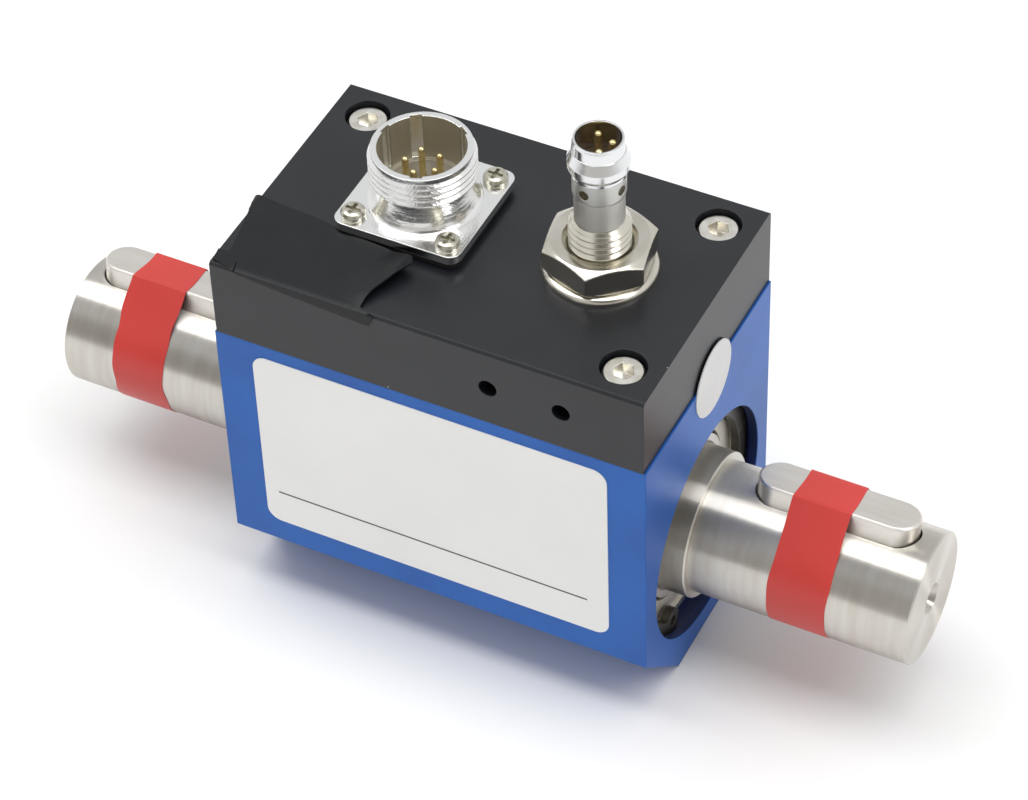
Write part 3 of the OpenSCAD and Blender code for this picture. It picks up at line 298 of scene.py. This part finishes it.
# chrome plating on a die casting: bright and cool, grainy on the thread, drawn coarser so that the grain shows;
# the socket's wall is dull and brownish
shellSet = {
    "hex": "#f5f5f4",
    "dull": 0.18,
    "centre": (-9.7, 0.9),
    "wall": 5.95,
    "rim": 68.7,
    "wallHex": "#c4beae",
    "wallDull": 0.55,
    "threadFoot": 64.2,
    "threadFade": 0.3,
    "peel": 1.8,
    "peelDetail": 1,
    "grain": 0.27,
    "grainDetail": 2,
    "grainShare": (0.6, 0.9),  # below the thread and on it
    "grainHeight": 0.05,
    "edge": 0.18,
}
chromed, tree, shader, coords = newMaterial("chromedDieCasting", shellSet["hex"], Metallic=1.0,
                                            Roughness=shellSet["dull"])
middle = (shellSet["centre"][0] * mm, shellSet["centre"][1] * mm, 0)
fromAxis = addNode(tree, "ShaderNodeVectorMath", {0: coords, 1: middle}, operation="SUBTRACT")
across = addNode(tree, "ShaderNodeVectorMath", {0: fromAxis.outputs["Vector"], 1: (1, 1, 0)}, operation="MULTIPLY")
reach = addNode(tree, "ShaderNodeVectorMath", {0: across.outputs["Vector"]}, operation="LENGTH").outputs["Value"]
height = addNode(tree, "ShaderNodeSeparateXYZ", {0: coords}).outputs["Z"]
inside = addNode(tree, "ShaderNodeMath", {0: reach, 1: shellSet["wall"] * mm}, operation="LESS_THAN")
below = addNode(tree, "ShaderNodeMath", {0: height, 1: shellSet["rim"] * mm}, operation="LESS_THAN")
wall = addNode(tree, "ShaderNodeMath", {0: inside.outputs[0], 1: below.outputs[0]}, operation="MULTIPLY").outputs[0]
tones = addNode(tree, "ShaderNodeMix", {0: wall, 6: linearColour(shellSet["hex"]),
                                        7: linearColour(shellSet["wallHex"])}, data_type="RGBA")
tree.links.new(tones.outputs[2], shader.inputs["Base Color"])
dull = addNode(tree, "ShaderNodeMapRange", {"Value": wall, "To Min": shellSet["dull"],
                                            "To Max": shellSet["wallDull"]})
tree.links.new(dull.outputs["Result"], shader.inputs["Roughness"])
peel = addNode(tree, "ShaderNodeTexNoise", {"Vector": coords, "Scale": perMm(shellSet["peel"]),
                                            "Detail": shellSet["peelDetail"]})
grain = addNode(tree, "ShaderNodeTexNoise", {"Vector": coords, "Scale": perMm(shellSet["grain"]),
                                             "Detail": shellSet["grainDetail"]})
threaded = addNode(tree, "ShaderNodeMapRange", {
    "Value": height, "From Min": (shellSet["threadFoot"] - shellSet["threadFade"]) * mm,
    "From Max": shellSet["threadFoot"] * mm, "To Min": shellSet["grainShare"][0], "To Max": shellSet["grainShare"][1]})
mixed = addNode(tree, "ShaderNodeMath", {0: grain.outputs["Fac"], 1: threaded.outputs["Result"],
                                         2: peel.outputs["Fac"]}, operation="MULTIPLY_ADD")
rounded = addNode(tree, "ShaderNodeBevel", {"Radius": shellSet["edge"] * mm}, samples=noiseSet["edgeSamples"])
bump = addNode(tree, "ShaderNodeBump", {"Height": mixed.outputs[0], "Distance": shellSet["grainHeight"] * mm,
                                        "Strength": 1.0, "Normal": rounded.outputs["Normal"]})
tree.links.new(bump.outputs["Normal"], shader.inputs["Normal"])
dress(chromed, "connector_shell")

# gold plated contact brass: pale yellow metal, smooth
goldContact, tree, shader, coords = newMaterial("goldPlatedContact", "#ead9a0", Metallic=1.0, Roughness=0.24)
mottle(tree, shader, coords, "#e2cd8c", "#f0e2b4", size=1)
dress(goldContact, "connector_pins", "pickup_pins")

# moulded insulator: grey-brown thermoplastic, dull
insulator, tree, shader, coords = newMaterial("mouldedInsulator", "#8d867a", Roughness=0.5)
mottle(tree, shader, coords, "#837c70", "#969083", size=2)
relief(tree, shader, coords, size=0.4, height=0.01, edge=0.15)
dress(insulator, "connector_insert")

# moulded insulator, dark brown: the pickup's carrier and sensing face
darkInsulator, tree, shader, coords = newMaterial("mouldedDarkInsulator", "#4a3a2c", Roughness=0.45)
mottle(tree, shader, coords, "#443527", "#524232", size=2)
dress(darkInsulator, "pickup_carrier", "pickup_face")

# amber lens: glossy moulded plastic, dark while the lamp is off
lampLens, tree, shader, coords = newMaterial("amberLampLens", "#4b4634", Roughness=0.15, IOR=1.5)
mottle(tree, shader, coords, "#3f3a2a", "#59533f", size=0.6)
dress(lampLens, "pickup_lamps")

# cut rubber sheet: flat black
sheetRubber, tree, shader, coords = newMaterial("cutSheetRubber", "#1c1d1e", Roughness=0.65)
mottle(tree, shader, coords, "#181919", "#222324", size=3)
relief(tree, shader, coords, size=0.5, height=0.015, edge=0.15)
dress(sheetRubber, "connector_gasket")

# film label: white, satin, with one printed rule
ruleSet = {"middle": (-0.5, 19.5), "half": (22.5, 0.14), "hex": "#3c3d40"}
labelFilm, tree, shader, coords = newMaterial("printedFilmLabel", "#eeeeec", Roughness=0.42, IOR=1.5)
plain = mottle(tree, shader, coords, "#ececea", "#f0f0ee", size=20)
place = addNode(tree, "ShaderNodeSeparateXYZ", {0: coords})
within = [addNode(tree, "ShaderNodeMath", {0: place.outputs[axis], 1: ruleSet["middle"][k] * mm,
                                           2: ruleSet["half"][k] * mm}, operation="COMPARE").outputs[0]
          for k, axis in enumerate("XZ")]
ruled = addNode(tree, "ShaderNodeMath", {0: within[0], 1: within[1]}, operation="MULTIPLY")
tones = addNode(tree, "ShaderNodeMix", {0: ruled.outputs[0], 6: plain, 7: linearColour(ruleSet["hex"])},
                data_type="RGBA")
tree.links.new(tones.outputs[2], shader.inputs["Base Color"])
relief(tree, shader, coords, size=1.5, height=0.002, edge=0)
dress(labelFilm, "label_plate")

# coated paper of the round sticker: white, a little duller
stickerPaper, tree, shader, coords = newMaterial("coatedStickerPaper", "#d2d3d3", Roughness=0.5, IOR=1.48)
mottle(tree, shader, coords, "#d0d1d1", "#d5d5d5", size=6)
relief(tree, shader, coords, size=0.4, height=0.002, edge=0)
dress(stickerPaper, "joint_sticker")

# electrician's film: black, satin
blackFilm, tree, shader, coords = newMaterial("blackFilmTape", "#0f1012", Roughness=0.42, IOR=1.38)
mottle(tree, shader, coords, "#0c0e10", "#111316", size=6)
relief(tree, shader, coords, size=2, height=0.008, edge=0.1)

# phenolic resin: red-brown, moulded
phenolic, tree, shader, coords = newMaterial("mouldedPhenolic", "#5d3720", Roughness=0.45)
mottle(tree, shader, coords, "#52301b", "#683f26", size=2)
dress(phenolic, "slip_ring_sleeve", "brush_block")

# polished bronze of the inner works: warm and bright
bronze, tree, shader, coords = newMaterial("polishedBronze", "#c08a54", Metallic=1.0, Roughness=0.2)
mottle(tree, shader, coords, "#b07b48", "#cd9862", size=3)
dress(bronze, "slip_rings", "leaf_springs", "leaf_rivets", "left_cage", "right_cage")

# pressed carbon of the brushes: dark grey, dull
carbon, tree, shader, coords = newMaterial("pressedCarbon", "#2e2e2f", Roughness=0.55)
mottle(tree, shader, coords, "#262627", "#38383a", size=0.5)
dress(carbon, "brushes")

# foil gauges on polyimide: amber film
gaugeFilm, tree, shader, coords = newMaterial("polyimideGaugeFilm", "#b7812f", Roughness=0.3)
mottle(tree, shader, coords, "#a87325", "#c6913e", size=0.8)
dress(gaugeFilm, "strain_gauges")

# lead insulation: red thermoplastic
leadSleeve, tree, shader, coords = newMaterial("leadInsulation", "#b23a30", Roughness=0.4)
mottle(tree, shader, coords, "#a5342b", "#bd4438", size=2)
dress(leadSleeve, "signal_leads")
print("materials on", len(cad), "nodes")


def startPiece(name, material):
    piece = bpy.context.object
    piece.name = name
    piece.data.materials.append(material)
    return piece


def selectVerts(piece, test):
    bpy.ops.object.mode_set(mode="OBJECT")
    for edge in piece.data.edges:
        edge.select = False
    for face in piece.data.polygons:
        face.select = False
    for vert in piece.data.vertices:
        vert.select = test(vert.index)
    bpy.ops.object.mode_set(mode="EDIT")


def applyModifiers(piece):
    bpy.ops.object.mode_set(mode="OBJECT")
    for modifier in list(piece.modifiers):
        bpy.ops.object.modifier_apply(modifier=modifier.name)


# red film bands: film pulled round the shaft and over the key, its edges wander a little
bandSet = {
    "shaftRadius": 9.0,
    "axisHeight": 19.0,
    "keyTop": 11.5,
    "keyHalf": 3.0,
    "keyTurn": 9.0,
    "film": 0.08,
    "around": 180,
    "across": 12,
    "waves": {  # size, count round the shaft and shift of each wave
        "left_tape_band": [(0.16, 3, 0.4), (0.12, 7, 1.9), (0.05, 13, 0.2)],
        "right_tape_band": [(0.08, 2, 2.4), (0.06, 6, 0.7), (0.03, 11, 1.1)],
    },
    "edgeShift": 1.3,  # sets one edge's waves apart from the other's
    "edgePower": 3,  # keeps the waves near the edges
    "smoothAngle": 35,
}


# distance of the pulled film from the shaft's axis, at an angle from the middle of the key
def bandReach(angle, radius, half, top):
    corner = math.atan2(half, top)
    touch = corner + math.acos(radius / math.hypot(half, top))
    turned = abs(angle)
    if turned <= corner:
        return top / math.cos(turned)
    if turned <= touch:
        return radius / math.cos(turned - touch)
    return radius


def makeBand(name, settings):
    low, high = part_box(name)
    width = high[0] - low[0]
    radius = (settings["shaftRadius"] + settings["film"] / 2) * mm
    top = (settings["keyTop"] + settings["film"] / 2) * mm
    half = (settings["keyHalf"] + settings["film"] / 2) * mm
    axis = Vector((0, 0, settings["axisHeight"] * mm))
    bpy.ops.object.select_all(action="DESELECT")
    bpy.ops.mesh.primitive_cylinder_add(vertices=settings["around"], radius=radius, depth=width,
                                        end_fill_type="NOTHING", location=((low[0] + high[0]) / 2, 0, axis.z),
                                        rotation=(0, math.pi / 2, 0))
    band = startPiece("film_" + name, redFilm)
    bpy.ops.object.transform_apply(location=True, rotation=True)
    bpy.ops.object.mode_set(mode="EDIT")
    bpy.ops.mesh.select_all(action="DESELECT")
    bpy.ops.object.mode_set(mode="OBJECT")
    for edge in band.data.edges:
        a, b = (band.data.vertices[k].co for k in edge.vertices)
        edge.select = abs(a.x - b.x) > width / 2
    bpy.ops.object.mode_set(mode="EDIT")
    bpy.ops.mesh.select_mode(type="EDGE")
    bpy.ops.mesh.subdivide(number_cuts=settings["across"])
    bpy.ops.object.mode_set(mode="OBJECT")
    turn = math.radians(settings["keyTurn"])
    for vert in band.data.vertices:
        away = vert.co - axis
        angle = math.atan2(away.y, away.z) - turn
        angle = (angle + math.pi) % (2 * math.pi) - math.pi
        reach = bandReach(angle, radius, half, top)
        share = 2 * (vert.co.x - low[0]) / width - 1
        wave = sum(size * math.sin(count * angle + shift + settings["edgeShift"] * (share > 0))
                   for size, count, shift in settings["waves"][name])
        vert.co.x += wave * mm * abs(share) ** settings["edgePower"]
        vert.co.y = reach * math.sin(angle + turn)
        vert.co.z = axis.z + reach * math.cos(angle + turn)
    wall = band.modifiers.new("film", "SOLIDIFY")
    wall.thickness = settings["film"] * mm
    wall.offset = 0
    applyModifiers(band)
    bpy.ops.object.shade_smooth_by_angle(angle=math.radians(settings["smoothAngle"]))
    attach(band, "rotor")
    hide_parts(name)


for name in ("left_tape_band", "right_tape_band"):
    makeBand(name, bandSet)
print("film bands made")

# black film strip: cut by hand, laid over the cover's front corner; its back edge and right end stand off the cover
stripSet = {
    "sheet": (-32.4, -5.2, -21.4, -4.6),  # left, right, front and back of the uncut film
    "cell": 0.3,
    "outline": [(-30.7, -5.5), (-20.75, -6.75), (-15.98, -7.7), (-10.68, -8.17), (-6.41, -8.91), (-5.86, -9.95),
                (-7.03, -12.68), (-8.25, -15.41), (-8.75, -17.13), (-8.79, -18.43), (-6.72, -19.08), (-7.3, -20.6),
                (-18.0, -19.95), (-26.15, -19.2), (-26.75, -17.45), (-26.4, -19.05), (-29.7, -18.4), (-29.95, -16.5),
                (-28.4, -16.4), (-29.5, -10.8)],
    "cutSlack": 1e-7,  # metres, as the next one
    "weldSlack": 1e-6,
    "film": 0.26,
    "lift": 0.18,
    "coverTop": 58.0,
    "coverFront": -19.0,
    "coverLeft": -30.0,
    "endCurl": 1.05,  # height of the right end over the cover
    "endStart": -14.0,  # x where the right end begins to rise
    "endSpan": 6.0,
    "endMost": 1.15,
    "frontHold": -18.6,  # y up to which the front is held down
    "frontFade": 2.5,
    "backCurl": 0.6,  # height of the back edge beside the flange
    "backEdge": (-30.7, -4.0),  # a point of the line from which the back edge's rise is measured
    "backSlope": 0.14,
    "backMargin": 1.5,
    "backReach": 7.0,
    "backStart": -27.0,  # x where the back edge begins to rise
    "backFade": 12.0,
    "bendDepth": 0.02,
    "flapTurns": 3,
    "flapTurn": 29.0,
    "flapEdge": 0.12,
    "flapStep": 0.1,
    "flapAxis": 0.05,
    "sideTurns": 2,
    "sideTurn": 16.0,
    "sideStep": 0.25,
    "ripple": 0.2,
    "rippleSize": 5.0,
    "rippleMiddle": 0.3,
    "looseFront": -18.4,  # the ripple fades out towards the two bends
    "looseLeft": -29.6,
    "looseFade": 1.5,
    "smoothAngle": 40,
}


def insideOutline(x, y, outline):
    inside = False
    for (ax, ay), (bx, by) in zip(outline, outline[1:] + outline[:1]):
        if (ay > y) != (by > y) and x < ax + (y - ay) / (by - ay) * (bx - ax):
            inside = not inside
    return inside


# height of the curled film over the flat sheet, in millimetres
def stripCurl(place, settings):
    fromFront = max(0, min(1, (place.y - settings["frontHold"]) / settings["frontFade"]))
    endRise = max(0, min(settings["endMost"], (place.x - settings["endStart"]) / settings["endSpan"])) ** 2 * fromFront
    edgeX, edgeY = settings["backEdge"]
    fromBack = edgeY - settings["backSlope"] * (place.x - edgeX) - settings["backMargin"] - place.y
    along = max(0, min(1, (place.x - settings["backStart"]) / settings["backFade"]))
    backRise = along * max(0, 1 - fromBack / settings["backReach"]) ** 2
    return max(settings["endCurl"] * endRise, settings["backCurl"] * backRise)


def makeStrip(settings):
    left, right, front, back = settings["sheet"]
    top = settings["coverTop"]
    height = top + settings["lift"]
    bpy.ops.object.select_all(action="DESELECT")
    bpy.ops.mesh.primitive_grid_add(x_subdivisions=round((right - left) / settings["cell"]),
                                    y_subdivisions=round((back - front) / settings["cell"]), size=1,
                                    location=((left + right) / 2 * mm, (front + back) / 2 * mm, height * mm))
    strip = startPiece("film_black_strip", blackFilm)
    strip.scale = ((right - left) * mm, (back - front) * mm, 1)
    bpy.ops.object.transform_apply(location=True, scale=True)
    outline = settings["outline"]
    bpy.ops.object.mode_set(mode="EDIT")
    for (ax, ay), (bx, by) in zip(outline, outline[1:] + outline[:1]):
        bpy.ops.mesh.select_all(action="SELECT")
        across = Vector((by - ay, ax - bx, 0)).normalized()
        bpy.ops.mesh.bisect(plane_co=(ax * mm, ay * mm, height * mm), plane_no=across, threshold=settings["cutSlack"])
    bpy.ops.mesh.select_all(action="SELECT")
    bpy.ops.mesh.remove_doubles(threshold=settings["weldSlack"])
    bpy.ops.mesh.select_mode(type="FACE")
    bpy.ops.mesh.select_all(action="DESELECT")
    bpy.ops.object.mode_set(mode="OBJECT")
    for face in strip.data.polygons:
        face.select = not insideOutline(face.center.x / mm, face.center.y / mm, outline)
    bpy.ops.object.mode_set(mode="EDIT")
    bpy.ops.mesh.delete(type="FACE")
    bpy.ops.mesh.select_mode(type="VERT")
    bpy.ops.object.mode_set(mode="OBJECT")
    flat = [vert.co.copy() / mm for vert in strip.data.vertices]
    for spot, place in zip(strip.data.vertices, flat):
        spot.co.z += stripCurl(place, settings) * mm
    for step in range(settings["flapTurns"]):  # the front flap, bent down in small turns
        line = settings["coverFront"] + settings["flapEdge"] - settings["flapStep"] * step
        selectVerts(strip, lambda k: flat[k].y < line)
        bend = Vector((0, (settings["coverFront"] + settings["flapAxis"]) * mm, (top - settings["bendDepth"]) * mm))
        bpy.ops.transform.rotate(value=-math.radians(settings["flapTurn"]), orient_axis="X", center_override=bend)
    for step in range(settings["sideTurns"]):  # the left side, bent over the cover's edge
        line = settings["coverLeft"] - settings["sideStep"] * step
        selectVerts(strip, lambda k: flat[k].x < line)
        bend = Vector((line * mm, 0, (top - settings["bendDepth"]) * mm))
        bpy.ops.transform.rotate(value=math.radians(settings["sideTurn"]), orient_axis="Y", center_override=bend)
    bpy.ops.object.mode_set(mode="OBJECT")
    loose = strip.vertex_groups.new(name="loose")
    fade = settings["looseFade"]
    for k, place in enumerate(flat):
        inner = min(place.y - settings["looseFront"], place.x - settings["looseLeft"], fade) / fade
        if inner > 0:
            loose.add([k], inner, "REPLACE")
    clouds = bpy.data.textures.new("filmRipple", "CLOUDS")
    clouds.noise_scale = settings["rippleSize"] * mm
    clouds.noise_depth = 1
    ripple = strip.modifiers.new("ripple", "DISPLACE")
    ripple.texture = clouds
    ripple.texture_coords = "LOCAL"
    ripple.direction = "Z"
    ripple.mid_level = settings["rippleMiddle"]
    ripple.strength = settings["ripple"] * mm
    ripple.vertex_group = "loose"
    wall = strip.modifiers.new("film", "SOLIDIFY")
    wall.thickness = settings["film"] * mm
    wall.offset = 0
    applyModifiers(strip)
    bpy.ops.object.shade_smooth_by_angle(angle=math.radians(settings["smoothAngle"]))
    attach(strip, "frame")
    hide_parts("black_strip")


makeStrip(stripSet)
print("black strip made")

# floor and light, in metres
stageSet = {"floorHalf": 3.0, "floorDrop": 0.0002, "floorHex": "#f0f0f0", "floorDull": 0.7}
bpy.ops.object.select_all(action="DESELECT")
bpy.ops.mesh.primitive_plane_add(size=2 * stageSet["floorHalf"], location=(0, 0, -stageSet["floorDrop"]))
floor = bpy.context.object
floor.name = "floor"
bpy.ops.object.transform_apply(location=True)
floorPaint = newMaterial("whiteSweep", stageSet["floorHex"], Roughness=stageSet["floorDull"])[0]
floor.data.materials.append(floorPaint)

lightSet = {
    "overhead": {"spot": (0.15, -0.05, 1.05), "aim": (0.15, -0.05, 0), "size": (2.3, 0.5), "power": 11.5,
                 "mirrored": True},
    "frontFill": {"spot": (-0.4, -1.0, 0.55), "aim": (0, 0, 0.03), "size": (0.8, 0.8), "power": 0.3,
                  "mirrored": False},
}
for name, item in lightSet.items():
    data = bpy.data.lights.new(name, "AREA")
    data.shape = "RECTANGLE"
    data.size, data.size_y = item["size"]
    data.energy = item["power"]
    lamp = bpy.data.objects.new(name, data)
    lamp.visible_glossy = item["mirrored"]
    spot = Vector(item["spot"])
    turn = (Vector(item["aim"]) - spot).to_track_quat("-Z", "Y").to_matrix().to_4x4()
    lamp.matrix_world = Matrix.Translation(spot) @ turn
    scene.collection.objects.link(lamp)

# the room: bright overhead, dimmer low in front; dark stretches at the front right and low at the front left,
# and a pale one behind
roomSet = {
    "strength": 0.85,
    "bright": "#fdfdfd",
    "low": "#d8d5d0",
    "lean": 0.8,
    "leanSpan": (-0.6, 0.3),
    "patches": [  # middle, span of the soft edge and colour
        ((0.45, -0.55, 0.7), (0.86, 0.95), "#7a7772"),
        ((-0.7, -0.7, 0.12), (0.88, 0.97), "#807d78"),
        ((-0.33, 0.62, 0.71), (0.75, 0.93), "#eff0f1"),
    ],
}
world = bpy.data.worlds.new("softRoom")
world.use_nodes = True
tree = world.node_tree
way = addNode(tree, "ShaderNodeTexCoord").outputs["Generated"]
sky = addNode(tree, "ShaderNodeSeparateXYZ", {"Vector": way})
lean = addNode(tree, "ShaderNodeMath", {0: sky.outputs["Y"], 1: roomSet["lean"], 2: sky.outputs["Z"]},
               operation="MULTIPLY_ADD")
rise = addNode(tree, "ShaderNodeMapRange", {"Value": lean.outputs["Value"], "From Min": roomSet["leanSpan"][0],
                                            "From Max": roomSet["leanSpan"][1]}, interpolation_type="SMOOTHSTEP")
walls = addNode(tree, "ShaderNodeMix", {0: rise.outputs["Result"], 6: linearColour(roomSet["low"]),
                                        7: linearColour(roomSet["bright"])}, data_type="RGBA")
tones = walls.outputs[2]
for middle, span, hexColour in roomSet["patches"]:
    facing = addNode(tree, "ShaderNodeVectorMath", {0: way, 1: middle}, operation="DOT_PRODUCT")
    patch = addNode(tree, "ShaderNodeMapRange", {"Value": facing.outputs["Value"], "From Min": span[0],
                                                 "From Max": span[1]}, interpolation_type="SMOOTHSTEP")
    tones = addNode(tree, "ShaderNodeMix", {0: patch.outputs["Result"], 6: tones, 7: linearColour(hexColour)},
                    data_type="RGBA").outputs[2]
tree.links.new(tones, tree.nodes["Background"].inputs["Color"])
tree.nodes["Background"].inputs["Strength"].default_value = roomSet["strength"]
scene.world = world
print("light set")
